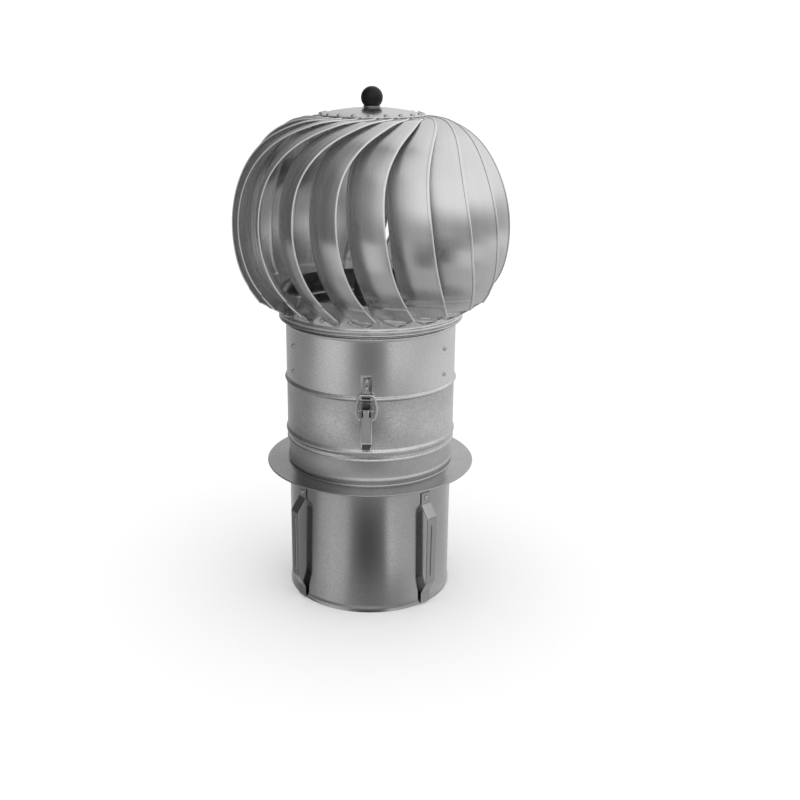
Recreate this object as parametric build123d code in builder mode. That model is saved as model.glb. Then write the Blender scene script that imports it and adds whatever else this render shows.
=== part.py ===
from build123d import *
import math
import os

# Roof turbine ventilator for a 150 mm flue.
# Millimetres. Z up, origin on the axis at the lower rim of the spigot. The front latch faces -Y.
# Angles are in degrees about +Z, and 0 is the front, -Y, growing towards +X.

# Sheet, wire and clearances
tube_sheet = 0.8
blade_sheet = 0.6
seat_gap = 0.02          # between pieces fixed to each other
slip_gap = 0.1           # between a tube end and the tube it slides into
running_gap = 0.05       # between a pin or shaft and the hole it turns in
free_gap = 0.35          # between pieces that pass each other

# Flue spigot and flange
spigot_radius = 74.5
spigot_flare = 0.8
flare_height = 6.5
flange_underside = 121.0
flange_sheet = 1.3
flange_reach = 20.5      # of its rim out from the spigot tube
flange_radius = spigot_radius + flange_reach
flange_collar_height = 2.6
root_bead_half = 2.5
root_bead_proud = 1.0
root_bead_height = flange_underside + flange_collar_height + root_bead_half + 1.3

# Middle tube, which carries the latches
middle_step = 1.4        # of its wall out from the spigot tube's
middle_radius = spigot_radius + middle_step
middle_length = 56.7     # from its lower end to the bead at its joint
neck_clear = 24.3        # of its lower end above the flange
neck_length = 18.7       # of the spigot tube inside it
lower_bead_rise = 8.3
lower_bead_half = 3.2
lower_bead_proud = 1.2
joint_bead_half = 2.5
joint_bead_proud = 1.8
socket_depth = 5.0
middle_bottom = flange_underside + neck_clear
neck_top = middle_bottom + neck_length
lower_bead_height = middle_bottom + lower_bead_rise
joint_bead_height = middle_bottom + middle_length
joint_bead_top = joint_bead_height + joint_bead_half

# Upper tube, which carries the bearing bracket
upper_step = 0.2         # of its wall out from the middle tube's
upper_radius = middle_radius + upper_step
upper_length = 59.0
top_bead_drop = 9.7
top_bead_half = 1.8
top_bead_proud = 0.8
upper_top = joint_bead_top + upper_length
top_bead_height = upper_top - top_bead_drop

# Rotor: two end pieces and the blades between them
blade_count = 20
rotor_angle = -9.7       # of the first blade's outer edge at the equator
rotor_radius = 121.0
equator_rise = 80.6      # of the widest place above the ring's lower edge
crown_rise = 94.0        # of the top plate's rim above the widest place
ring_clear = 4.3         # of its wall out from the upper tube's
ring_radius = upper_radius + ring_clear
ring_height = 26.6
ring_overlap = 6.1       # of the ring over the upper tube
ring_roll = 1.8
ring_roll_height = 5.6
ring_rivet_rise = 11.4
plate_radius = 46.4
plate_rise = 6.0
plate_sheet = 1.0
plate_rivet_inset = 3.4
ring_bottom = upper_top - ring_overlap
ring_top = ring_bottom + ring_height
ring_roll_radius = ring_radius + ring_roll
ring_rivet_height = ring_bottom + ring_rivet_rise
equator_height = ring_bottom + equator_rise
plate_rim_height = equator_height + crown_rise
plate_rivet_circle = plate_radius - plate_rivet_inset

# Blade form
width_share = 0.2909     # of the blade's width to the rotor's radius
blade_width = rotor_radius * width_share
blade_camber = 3.0
blade_lean = 38.0        # between the blade's chord and the ball's tangent
top_sweep = 53.0         # how far the outer edge turns from the equator to the top plate
tab_sweep = 46.0         # of the top tab's middle
middle_sweep = 2.5
bottom_sweep = 14.5      # how far it turns from the equator to the lower corner
corner_rise = 18.6       # of the lower outer corner above the ring's lower edge
belly_tuck = 5.4         # of the lower quarter ellipse's centre inside the ring's wall
belly_ratio = 0.816      # of the lower quarter ellipse that the blade takes up
tab_length = 8.6
tab_width = 11.2
ring_tab_height = 11.5   # of the blade's lower tab, round the ring's skin
ring_tab_back = 6.0      # how far it reaches behind its rivet
toe_share = 0.585        # of the way from the ring out to the blade's lower corner, at the toe's middle
tip_share = 0.146        # the same, at the toe's lower end

# Shaft, bearings and knob
shaft_radius = 4.0
spindle_radius = 6.0     # its shoulder rests on the bearing's inner ring only
bearing_radius = 11.0
bearing_width = 7.0
bearing_split = 6.4      # between a bearing's inner and outer rings
housing_radius = 15.0
housing_length = 42.0
housing_drop = 1.5       # of its lower end below the upper tube's top
shaft_tail = 6.0         # of the shaft below the housing
nut_height = 6.5
nut_flats = 13.0
circlip_width = 1.2
circlip_radius = 6.2
groove_depth = 0.5
knob_radius = 9.3
knob_neck = 6.6          # from the ball's centre down to its flat
washer_radius = 7.3
washer_height = 1.3
thread_reach = 9.0       # of the shaft into the knob
housing_bottom = upper_top - housing_drop
housing_top = housing_bottom + housing_length
shaft_bottom = housing_bottom - shaft_tail

# Bearing bracket
bracket_sheet = 2.0
bracket_width = 16.0
bracket_angles = [60, 180, 300]
foot_drop = 19.5         # of the straps' bends below the upper tube's top
bracket_hub_height = 14.0
foot_bottom = joint_bead_top + socket_depth + 1.1
foot_top = upper_top - foot_drop
bracket_rivet_heights = [foot_bottom + 3.9, foot_top - 6.6]

# Draw latches
latch_angles = [0, 120, 240]
latch_drop = 8.8         # of the lever's pivot below the joint bead
latch_reach = 4.5        # of the lever's pivot out from the middle tube
bail_pivot_drop = 8.3    # of the bail's pivot below the lever's
bail_pivot_inset = 0.2
bail_rise = 21.6         # of the bail's top bar above its pivot
bail_inset = 0.3         # of its top bar, nearer to the axis than its pivot
wire_radius = 1.0
bail_spread = 8.8
bail_foot = 6.2
bail_foot_reach = 2.8
bail_top_half = 5.2
lever_width = 9.8
lever_sheet = 0.8
lever_face_reach = 1.6   # of the lever's face out from its pivot
lever_flange_depth = 3.4
lever_above = 1.5        # of the lever above its pivot
lever_below = 28.8
lever_tab = 4.6
pin_radius = 1.2
pin_length = 13.0
ear_sheet = 1.0
ear_radius = 2.2
base_sheet = 1.0
base_above = 5.4
base_below = 27.7
strap_width = 9.7
strap_sheet = 0.8
strap_rise = 16.3        # of the strap's top above the bail's top bar
hook_width = 7.6
hook_reach = 3.1         # of its lip out from the bail's top bar
hook_lip = 0.3           # of its lip above the middle of that bar
hook_seat_gap = 0.1      # between the hook and the bar that lies in it
latch_pivot_radius = middle_radius + latch_reach
latch_pivot_height = joint_bead_height - latch_drop
bail_pivot_radius = latch_pivot_radius - bail_pivot_inset
bail_pivot_height = latch_pivot_height - bail_pivot_drop
bail_hook_radius = bail_pivot_radius - bail_inset
bail_hook_height = bail_pivot_height + bail_rise
lever_face = latch_pivot_radius + lever_face_reach
lever_flange_inner = lever_face - lever_flange_depth
lever_top = latch_pivot_height + lever_above
lever_bottom = latch_pivot_height - lever_below
base_bottom = latch_pivot_height - base_below
base_top = latch_pivot_height + base_above
strap_top = bail_hook_height + strap_rise
strap_rivet_heights = [strap_top - 11.2, strap_top - 4.5]
base_rivet_heights = [base_bottom + 5.0, base_bottom + 13.0]

# Leaf springs that grip the flue
spring_angles = [44, 128.5, 224, 308.5]
spring_width = 11.0
spring_sheet = 0.8
spring_drop = 12.0       # of the spring's top below the flange
spring_tab = 10.5
spring_ramp = 11.5
spring_proud = 8.4
spring_knee = 24.0
spring_ankle = 12.0
spring_bottom = 1.5
spring_rib = 2.2
spring_rivet_drop = 4.7
spring_top = flange_underside - spring_drop
spring_step = spring_top - spring_tab
spring_shoulder = spring_step - spring_ramp
spring_rivet_height = spring_top - spring_rivet_drop

# Blind rivets
rivet_head = 2.2
rivet_head_height = 0.9
rivet_shank = 1.4
rivet_tail = 0.8
rivet_hole = rivet_shank + seat_gap
drill = 8.0              # long enough to pass through every riveted pair


def polar(radius, angle, height):
    """The point at this radius, angle from the front and height."""
    turn = math.radians(angle)
    return Vector(radius * math.sin(turn), -radius * math.cos(turn), height)


def outward_plane(radius, angle, height):
    """A plane that faces out from the axis, with its x level and its y up."""
    turn = math.radians(angle)
    level = (math.cos(turn), math.sin(turn), 0)
    out = (math.sin(turn), -math.cos(turn), 0)
    return Plane(origin=polar(radius, angle, height), x_dir=level, z_dir=out)


def upright_plane(angle):
    """The plane through the axis at this angle: its x is the radius and its y the height."""
    turn = math.radians(angle)
    out = (math.sin(turn), -math.cos(turn), 0)
    return Plane(origin=(0, 0, 0), x_dir=out, z_dir=(-math.cos(turn), -math.sin(turn), 0))


def bead(radius, height, half, proud):
    """Outline points of a bead rolled into a tube wall, from its lower side to its upper side."""
    crown = half * 0.35
    return [
        (radius, height - half),
        (radius + proud, height - crown),
        (radius + proud, height + crown),
        (radius, height + half),
    ]


def sheet_profile(outline, sheet=tube_sheet):
    """A sheet metal wall's whole profile: its outer outline, and the same set in by the sheet."""
    return outline + [(r - sheet, z) for r, z in reversed(outline)]


def save(part, name):
    part.label = name
    export_step(part, f"parts/{name}.step")


os.makedirs("parts", exist_ok=True)

# Values worked out from the ones above
middle_inner = middle_radius - tube_sheet
upper_inner = upper_radius - tube_sheet
plate_top = plate_rim_height + plate_rise
plate_underside = plate_top - plate_sheet
plate_dome = (plate_radius**2 + plate_rise**2) / (2 * plate_rise)
blade_pitch = 360 / blade_count


def plate_height(radius):
    """Height of the top plate's upper face at this radius."""
    return plate_top - plate_dome + math.sqrt(plate_dome**2 - radius**2)


nut_seat = plate_height(nut_flats * 0.58) - plate_sheet - seat_gap

# Rivet places
bracket_planes = [outward_plane(upper_radius + seat_gap, a, z)
                  for a in bracket_angles for z in bracket_rivet_heights]
spring_planes = [outward_plane(spigot_radius + 2 * seat_gap + spring_sheet, a, spring_rivet_height)
                 for a in spring_angles]
strap_planes = [outward_plane(upper_radius + 2 * seat_gap + strap_sheet, a, z)
                for a in latch_angles for z in strap_rivet_heights]
base_planes = [outward_plane(middle_radius + 2 * seat_gap + base_sheet, a, z)
               for a in latch_angles for z in base_rivet_heights]

# Spigot tube
with BuildPart() as spigot_tube:
    neck_radius = middle_inner - slip_gap
    with BuildSketch(Plane.XZ):
        with BuildLine():
            Polyline(*sheet_profile([
                (spigot_radius + spigot_flare, 0),
                (spigot_radius + spigot_flare, flare_height / 2),
                (spigot_radius, flare_height),
                *bead(spigot_radius, root_bead_height, root_bead_half, root_bead_proud),
                (spigot_radius, middle_bottom - 1),
                (neck_radius, middle_bottom + 1),
                *bead(neck_radius, lower_bead_height, lower_bead_half, lower_bead_proud),
                (neck_radius, neck_top),
            ]), close=True)
        make_face()
    revolve(axis=Axis.Z)
    with Locations(*spring_planes):
        Cylinder(rivet_hole, drill, mode=Mode.SUBTRACT)
save(spigot_tube.part, "spigot_tube")

# Flange, with a short collar that hugs the tube under the root bead
with BuildPart() as flange:
    hole = spigot_radius + seat_gap
    top = flange_underside + flange_sheet
    with BuildSketch(Plane.XZ):
        with BuildLine():
            Polyline(
                (hole, flange_underside),
                (flange_radius, flange_underside),
                (flange_radius, top),
                (hole + flange_sheet, top),
                (hole + flange_sheet / 2, flange_underside + flange_collar_height),
                (hole, flange_underside + flange_collar_height),
                close=True,
            )
        make_face()
    revolve(axis=Axis.Z)
save(flange.part, "flange")

# Middle tube
with BuildPart() as middle_tube:
    socket_radius = upper_inner - slip_gap
    with BuildSketch(Plane.XZ):
        with BuildLine():
            Polyline(*sheet_profile([
                (middle_radius + 0.5, middle_bottom),
                (middle_radius + 0.5, middle_bottom + 1.2),
                (middle_radius, middle_bottom + 2.2),
                *bead(middle_radius, lower_bead_height, lower_bead_half, lower_bead_proud),
                *bead(middle_radius, joint_bead_height, joint_bead_half, joint_bead_proud)[:3],
                (socket_radius, joint_bead_top),
                (socket_radius, joint_bead_top + socket_depth),
            ]), close=True)
        make_face()
    revolve(axis=Axis.Z)
    with Locations(*base_planes):
        Cylinder(rivet_hole, drill, mode=Mode.SUBTRACT)
save(middle_tube.part, "middle_tube")

# Upper tube
with BuildPart() as upper_tube:
    with BuildSketch(Plane.XZ):
        with BuildLine():
            Polyline(*sheet_profile([
                (upper_radius, joint_bead_top + seat_gap),
                *bead(upper_radius, top_bead_height, top_bead_half, top_bead_proud),
                (upper_radius, upper_top),
            ]), close=True)
        make_face()
    revolve(axis=Axis.Z)
    with Locations(*(bracket_planes + strap_planes)):
        Cylinder(rivet_hole, drill, mode=Mode.SUBTRACT)
save(upper_tube.part, "upper_tube")

# Bearing housing
with BuildPart() as bearing_housing:
    with BuildSketch(Plane.XY.offset(housing_bottom)):
        Circle(housing_radius)
        Circle(spindle_radius + free_gap + 1, mode=Mode.SUBTRACT)
    extrude(amount=housing_top - housing_bottom)
    for seat in (housing_bottom, housing_top - bearing_width):
        with BuildSketch(Plane.XY.offset(seat)):
            Circle(bearing_radius + seat_gap)
        extrude(amount=bearing_width, mode=Mode.SUBTRACT)
save(bearing_housing.part, "bearing_housing")

# Bearings: the outer rings stay in the housing and the inner rings turn with the shaft
for name, seat in (("lower", housing_bottom), ("upper", housing_top - bearing_width)):
    with BuildPart() as outer_ring:
        with BuildSketch(Plane.XY.offset(seat + seat_gap)):
            Circle(bearing_radius)
            Circle(bearing_split + running_gap, mode=Mode.SUBTRACT)
        extrude(amount=bearing_width - 2 * seat_gap)
    save(outer_ring.part, f"{name}_bearing_outer")
    with BuildPart() as inner_ring:
        with BuildSketch(Plane.XY.offset(seat + seat_gap)):
            Circle(bearing_split)
            Circle(shaft_radius + seat_gap, mode=Mode.SUBTRACT)
        extrude(amount=bearing_width - 2 * seat_gap)
    save(inner_ring.part, f"{name}_bearing_inner")

# Bearing bracket: a hub and three bent straps
with BuildPart() as bearing_bracket:
    foot_radius = upper_inner - seat_gap
    hub_inner = housing_radius + seat_gap
    hub_top = housing_bottom + bracket_hub_height
    with BuildSketch(Plane.XY.offset(housing_bottom)):
        Circle(hub_inner + bracket_sheet)
    extrude(amount=bracket_hub_height)
    for angle in bracket_angles:
        with BuildSketch(upright_plane(angle)):
            with BuildLine():
                Polyline(
                    (foot_radius - bracket_sheet, foot_bottom),
                    (foot_radius - bracket_sheet, foot_top - bracket_sheet),
                    (hub_inner + bracket_sheet / 2, housing_bottom + 1),
                    (hub_inner + bracket_sheet / 2, housing_bottom + 1 + bracket_sheet),
                    (foot_radius, foot_top),
                    (foot_radius, foot_bottom),
                    close=True,
                )
            make_face()
        extrude(amount=bracket_width / 2, both=True)
    # The feet are pressed to the curve of the tube, and the hub is bored for the housing
    with BuildSketch(Plane.XY.offset(foot_bottom)):
        Circle(2 * foot_radius)
        Circle(foot_radius, mode=Mode.SUBTRACT)
    extrude(amount=housing_top - foot_bottom, mode=Mode.SUBTRACT)
    with BuildSketch(Plane.XY.offset(foot_bottom)):
        Circle(hub_inner)
    extrude(amount=housing_top - foot_bottom, mode=Mode.SUBTRACT)
    with Locations(*bracket_planes):
        Cylinder(rivet_hole, drill, mode=Mode.SUBTRACT)
save(bearing_bracket.part, "bearing_bracket")

# Shaft: a thick spindle above the bearings and a thin end in them
with BuildPart() as rotor_shaft:
    spindle_top = nut_seat - nut_height - 1
    knob_seat = plate_top + washer_height
    with BuildSketch(Plane.XZ):
        with BuildLine():
            Polyline(
                (0, shaft_bottom),
                (shaft_radius, shaft_bottom),
                (shaft_radius, housing_bottom - circlip_width - 2 * seat_gap),
                (shaft_radius - groove_depth, housing_bottom - circlip_width - 2 * seat_gap),
                (shaft_radius - groove_depth, housing_bottom),
                (shaft_radius, housing_bottom),
                (shaft_radius, housing_top),
                (spindle_radius, housing_top + seat_gap),
                (spindle_radius, spindle_top),
                (shaft_radius, spindle_top),
                (shaft_radius, knob_seat + thread_reach),
                (0, knob_seat + thread_reach),
                close=True,
            )
        make_face()
    revolve(axis=Axis.Z)
save(rotor_shaft.part, "rotor_shaft")

# Circlip under the lower bearing
with BuildPart() as shaft_circlip:
    with BuildSketch(Plane.XY.offset(housing_bottom - circlip_width - seat_gap)):
        Circle(circlip_radius)
        Circle(shaft_radius - groove_depth + seat_gap, mode=Mode.SUBTRACT)
        with Locations((circlip_radius, 0)):
            Rectangle(circlip_radius * 1.3, 2.4, mode=Mode.SUBTRACT)
    extrude(amount=circlip_width)
save(shaft_circlip.part, "shaft_circlip")

# Top plate: a shallow dome with a row of rivets inside its rim
plate_rivets = []
for blade in range(blade_count):
    angle = rotor_angle + tab_sweep + blade * blade_pitch
    slope = math.asin(plate_rivet_circle / plate_dome)
    out = polar(1, angle, 0)
    tilt = Vector(0, 0, math.cos(slope)) + out * math.sin(slope)
    centre = polar(plate_rivet_circle, angle, plate_height(plate_rivet_circle) + seat_gap)
    level = polar(1, angle + 90, 0)
    plate_rivets.append(Plane(origin=centre, x_dir=level, z_dir=tilt))
with BuildPart() as top_plate:
    with BuildSketch(Plane.XZ):
        with BuildLine():
            rim = plate_rim_height
            mid = plate_radius / 2
            Line((shaft_radius + seat_gap, plate_underside), (shaft_radius + seat_gap, plate_top))
            ThreePointArc((shaft_radius + seat_gap, plate_top), (mid, plate_height(mid)),
                          (plate_radius, rim))
            Line((plate_radius, rim), (plate_radius, rim - plate_sheet))
            ThreePointArc((plate_radius, rim - plate_sheet), (mid, plate_height(mid) - plate_sheet),
                          (shaft_radius + seat_gap, plate_underside))
        make_face()
    revolve(axis=Axis.Z)
    with Locations(*plate_rivets):
        Cylinder(rivet_hole, drill, mode=Mode.SUBTRACT)
save(top_plate.part, "top_plate")

# Nut under the plate, washer over it, and the ball knob
with BuildPart() as shaft_nut:
    with BuildSketch(Plane.XY.offset(nut_seat - nut_height)):
        RegularPolygon(nut_flats / 2, 6, major_radius=False)
        Circle(shaft_radius + seat_gap, mode=Mode.SUBTRACT)
    extrude(amount=nut_height)
save(shaft_nut.part, "shaft_nut")

with BuildPart() as knob_washer:
    with BuildSketch(Plane.XY.offset(plate_top + seat_gap)):
        Circle(washer_radius)
        Circle(shaft_radius + seat_gap, mode=Mode.SUBTRACT)
    extrude(amount=washer_height - 2 * seat_gap)
save(knob_washer.part, "knob_washer")

with BuildPart() as knob:
    flat = math.sqrt(knob_radius**2 - knob_neck**2)
    centre = knob_seat + knob_neck
    with BuildSketch(Plane.XZ):
        with BuildLine():
            Polyline(
                (0, centre + knob_radius),
                (0, knob_seat + thread_reach + 1),
                (shaft_radius + seat_gap, knob_seat + thread_reach + 1),
                (shaft_radius + seat_gap, knob_seat),
                (flat, knob_seat),
            )
            ThreePointArc((flat, knob_seat), (knob_radius, centre), (0, centre + knob_radius))
        make_face()
    revolve(axis=Axis.Z)
save(knob.part, "knob")

# Lower ring of the rotor, with its rolled lower edge
ring_rivets = [outward_plane(ring_radius + 2 * seat_gap + blade_sheet, rotor_angle + k * blade_pitch,
                             ring_rivet_height) for k in range(blade_count)]
with BuildPart() as rotor_ring:
    with BuildSketch(Plane.XZ):
        with BuildLine():
            Polyline(*sheet_profile([
                (ring_roll_radius - 0.4, ring_bottom),
                (ring_roll_radius, ring_bottom + 1.2),
                (ring_roll_radius, ring_bottom + ring_roll_height - 1.4),
                (ring_radius, ring_bottom + ring_roll_height),
                (ring_radius, ring_top),
            ]), close=True)
        make_face()
    revolve(axis=Axis.Z)
    with Locations(*ring_rivets):
        Cylinder(rivet_hole, drill, mode=Mode.SUBTRACT)
save(rotor_ring.part, "rotor_ring")


# Blades
corner_drop = equator_rise - corner_rise
corner_turn = math.degrees(math.asin(belly_ratio))


def outer_edge(turn):
    """The blade's outer edge: radius, sweep and height, at this turn of its two quarter ellipses."""
    up = math.radians(turn)
    if turn >= 0:
        tuck = plate_radius
        radius = tuck + (rotor_radius - tuck) * math.cos(up)
        rise = plate_rim_height - plate_sheet - seat_gap - equator_height
        sweep = top_sweep * (turn / 90)**3 - middle_sweep * math.sin(2 * up)
        return radius, sweep, equator_height + rise * math.sin(up)
    centre = ring_radius - belly_tuck
    radius = centre + (rotor_radius - centre) * math.cos(up)
    share = -turn / corner_turn
    sweep = bottom_sweep * (0.38 * share + 0.62 * share**2)
    return radius, sweep, equator_height + corner_drop / belly_ratio * math.sin(up)


def chord_to(outer, width, lean):
    """The inner edge's point that lies behind an outer edge point, level with it."""
    radius, sweep, height = outer
    back = width * math.cos(math.radians(lean))
    inward = width * math.sin(math.radians(lean))
    inner_radius = math.hypot(radius - inward, back)
    return inner_radius, sweep - math.degrees(math.atan2(back, radius - inward)), height


def blade_sections():
    """Outer point, inner point and camber of each section: the toe's from its lower end up,
    and the body's from the lower corner to the top tab."""
    skin = ring_radius + 4 * seat_gap + blade_sheet
    drop = equator_height - corner_drop
    corner = outer_edge(-corner_turn)
    reach = corner[0] - skin
    toe = [
        ((skin + tip_share * reach, 10.6, drop - 9.6), (skin, 7.4, drop - 9.8), 0.4),
        ((skin + toe_share * reach, 13.6, drop - 5.4), (skin, 1.6, drop - 5.6), 0.8),
    ]
    sections = [(corner, (skin, -5.0, drop), 1.2)]
    for turn, width, lean, bow in (
        (-36, 1.0, 1.05, 0.8), (-14, 1.0, 1.0, 1.0), (12, 1.0, 1.0, 1.0), (34, 1.0, 1.0, 1.0),
        (54, 0.93, 1.05, 0.8), (68, 0.67, 1.1, 0.4), (79, 0.37, 0.9, 0.1),
    ):
        outer = outer_edge(turn)
        inner = chord_to(outer, width * blade_width, lean * blade_lean)
        sections.append((outer, inner, bow * blade_camber))
    for radius in (plate_radius - 0.4, plate_radius - tab_length):
        height = plate_height(radius) - plate_sheet - 6 * seat_gap
        half = math.degrees(math.asin(tab_width / 2 / radius))
        sections.append(((radius, tab_sweep + half, height), (radius, tab_sweep - half, height), 0.0))
    return toe, sections


def ring_tab(angle):
    """The blade's lower tab: it lies round the ring and ends where the blade leaves it."""
    skin = ring_radius + seat_gap + blade_sheet
    low = ring_rivet_height - ring_tab_height * 0.35
    high = low + ring_tab_height
    outline = [(-ring_tab_back, low), (-ring_tab_back, high), (0.3 - ring_tab_back * 0.75, high),
               (2.3, high - 5.6), (8.2, low + 1.2), (8.2, low)]
    with BuildPart() as tab:
        with BuildSketch(Plane.XY.offset(low)):
            Circle(skin)
            Circle(skin - blade_sheet, mode=Mode.SUBTRACT)
        extrude(amount=ring_tab_height)
        with BuildSketch(outward_plane(0, angle, 0)):
            with BuildLine():
                Polyline(*[(skin * math.sin(math.radians(a)), z) for a, z in outline], close=True)
            make_face()
        extrude(amount=2 * skin, mode=Mode.INTERSECT)
    return tab.part


def blade_part(angle):
    """One blade, lofted through its sections, with the rivet holes of its two ends."""
    toe, body = blade_sections()
    corner = len(toe)
    sections = [(polar(o[0], o[1] + angle, o[2]), polar(i[0], i[1] + angle, i[2]), bow)
                for o, i, bow in toe + body]
    middles = [(o + i) * 0.5 for o, i, bow in sections]
    with BuildPart() as blade:
        for first, last, straight in ((corner, len(sections), False), (0, corner + 1, True)):
            for k in range(first, last):
                outer, inner, bow = sections[k]
                before = middles[max(k - 1, 0)]
                after = middles[min(k + 1, len(middles) - 1)]
                chord = (inner - outer).normalized()
                along = after - before
                along = (along - chord * along.dot(chord)).normalized()
                width = (inner - outer).length
                plane = Plane(origin=outer, x_dir=chord, z_dir=along)
                # The skin side of the section lies on the outer face, and the sheet goes in from it
                side = 1 if plane.y_dir.dot(polar(1, angle, 0) + Vector(0, 0, 1)) > 0 else -1
                low = -side * blade_sheet
                with BuildSketch(plane):
                    with BuildLine():
                        if bow:
                            ThreePointArc((0, 0), (width / 2, side * bow), (width, 0))
                            Line((width, 0), (width, low))
                            ThreePointArc((width, low), (width / 2, side * bow + low), (0, low))
                            Line((0, low), (0, 0))
                        else:
                            Polyline((0, 0), (width, 0), (width, low), (0, low), close=True)
                    make_face()
            loft(ruled=straight)
    return blade.part


for blade in range(blade_count):
    angle = rotor_angle + blade * blade_pitch
    form = blade_part(angle)
    tab = ring_tab(angle)
    with BuildPart() as one_blade:
        add(form)
        add(tab)
        with Locations(plate_rivets[blade], ring_rivets[blade]):
            Cylinder(rivet_hole, drill, mode=Mode.SUBTRACT)
    save(one_blade.part, f"blade_{blade + 1:02d}")


# Rivets
def rivet_set(planes, grip):
    """Blind rivets on these planes: a head, a shank through the grip and a short tail."""
    with BuildPart() as rivets:
        with Locations(*planes):
            Cylinder(rivet_head, rivet_head_height, align=(Align.CENTER, Align.CENTER, Align.MIN))
            Cylinder(rivet_shank, grip + rivet_tail, align=(Align.CENTER, Align.CENTER, Align.MAX))
    return rivets.part


save(rivet_set(plate_rivets, plate_sheet + blade_sheet + 0.3), "top_rivets")
save(rivet_set(ring_rivets, tube_sheet + blade_sheet), "ring_rivets")
save(rivet_set(bracket_planes, tube_sheet + bracket_sheet), "bracket_rivets")
save(rivet_set(strap_planes + base_planes, tube_sheet + strap_sheet), "latch_rivets")
save(rivet_set(spring_planes, tube_sheet + spring_sheet), "spring_rivets")

# Draw latches. Each is made at the front and turned to its place
# Strike: a flat strap down the upper tube, curled out and up under the bail's top bar
with BuildPart() as strike_form:
    seat = upper_radius + seat_gap
    face = seat + strap_sheet
    trough = bail_hook_height - wire_radius - hook_seat_gap
    lip = bail_hook_radius + hook_reach
    lip_top = bail_hook_height + hook_lip
    with BuildSketch(upright_plane(0)):
        with BuildLine():
            Polyline(
                (seat, strap_top),
                (seat, trough - strap_sheet),
                (lip + strap_sheet, trough - strap_sheet),
                (lip + strap_sheet, lip_top),
                (lip, lip_top),
                (lip, trough),
                (face, trough),
                (face, strap_top),
                close=True,
            )
        make_face()
    extrude(amount=strap_width / 2, both=True)
    # The curl is narrower than the strap, so that the bail's sides pass it
    with BuildSketch(outward_plane(face, 0, trough)):
        for side in (-1, 1):
            with Locations((side * (hook_width + strap_width) / 2, 0)):
                Rectangle(strap_width, 4 * hook_reach)
    extrude(amount=lip, mode=Mode.SUBTRACT)
    with Locations(*[outward_plane(seat, 0, z) for z in strap_rivet_heights]):
        Cylinder(rivet_hole, drill, mode=Mode.SUBTRACT)

# Base: a plate on the middle tube with two ears for the lever's pin
with BuildPart() as base_form:
    seat = middle_radius + seat_gap
    ear_inner = lever_width / 2 - lever_sheet - free_gap - ear_sheet
    with BuildSketch(outward_plane(seat, 0, (base_bottom + base_top) / 2)):
        Rectangle(2 * (ear_inner + ear_sheet), base_top - base_bottom)
    extrude(amount=base_sheet)
    for side in (-1, 1):
        with BuildSketch(upright_plane(0).offset(side * ear_inner)):
            with BuildLine():
                Polyline(
                    (seat, latch_pivot_height - ear_radius * 1.6),
                    (seat, latch_pivot_height + ear_radius * 1.6),
                    (latch_pivot_radius, latch_pivot_height + ear_radius),
                    (latch_pivot_radius, latch_pivot_height - ear_radius),
                    close=True,
                )
            make_face()
            with Locations((latch_pivot_radius, latch_pivot_height)):
                Circle(ear_radius)
                Circle(pin_radius + seat_gap, mode=Mode.SUBTRACT)
        extrude(amount=side * ear_sheet)
    with Locations(*[outward_plane(seat, 0, z) for z in base_rivet_heights]):
        Cylinder(rivet_hole, drill, mode=Mode.SUBTRACT)

with BuildPart() as pin_form:
    with Locations(outward_plane(latch_pivot_radius, 0, latch_pivot_height)):
        Cylinder(pin_radius, pin_length, rotation=(0, 90, 0))

# Lever: a channel pressed from sheet, with slots that clear the ears and a bent end tab
with BuildPart() as lever_form:
    half = lever_width / 2
    face = lever_face + lever_sheet
    middle = (lever_top + lever_bottom) / 2
    with BuildSketch(upright_plane(0)):
        with BuildLine():
            Polyline(
                (lever_flange_inner + 2, lever_bottom),
                (lever_flange_inner, lever_bottom + 3),
                (lever_flange_inner, lever_top),
                (face, lever_top),
                (face, lever_bottom),
                close=True,
            )
        make_face()
    extrude(amount=half, both=True)
    with BuildSketch(outward_plane(0, 0, middle)):
        Rectangle(lever_width - 2 * lever_sheet, lever_top - lever_bottom + 2)
    extrude(amount=lever_face, mode=Mode.SUBTRACT)
    with BuildSketch(upright_plane(0)):
        with BuildLine():
            Polyline(
                (lever_face, lever_bottom + 0.01),
                (lever_face + 1.6, lever_bottom - lever_tab),
                (face + 1.6, lever_bottom - lever_tab),
                (face, lever_bottom + 0.01),
                close=True,
            )
        make_face()
    extrude(amount=lever_width / 2 - lever_sheet, both=True)
    # Slots in the face, open at its upper end
    slot = ear_sheet + 2 * free_gap
    with BuildSketch(outward_plane(lever_face - 0.5, 0, lever_top)):
        for side in (-1, 1):
            with Locations((side * (ear_inner + ear_sheet / 2), 0)):
                Rectangle(slot, 4 * ear_radius + 4)
    extrude(amount=2, mode=Mode.SUBTRACT)
    with Locations(outward_plane(latch_pivot_radius, 0, latch_pivot_height)):
        Cylinder(pin_radius + running_gap, 2 * lever_width, rotation=(0, 90, 0), mode=Mode.SUBTRACT)
    with Locations(outward_plane(bail_pivot_radius, 0, bail_pivot_height)):
        Cylinder(wire_radius + running_gap, 2 * lever_width, rotation=(0, 90, 0), mode=Mode.SUBTRACT)

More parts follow.
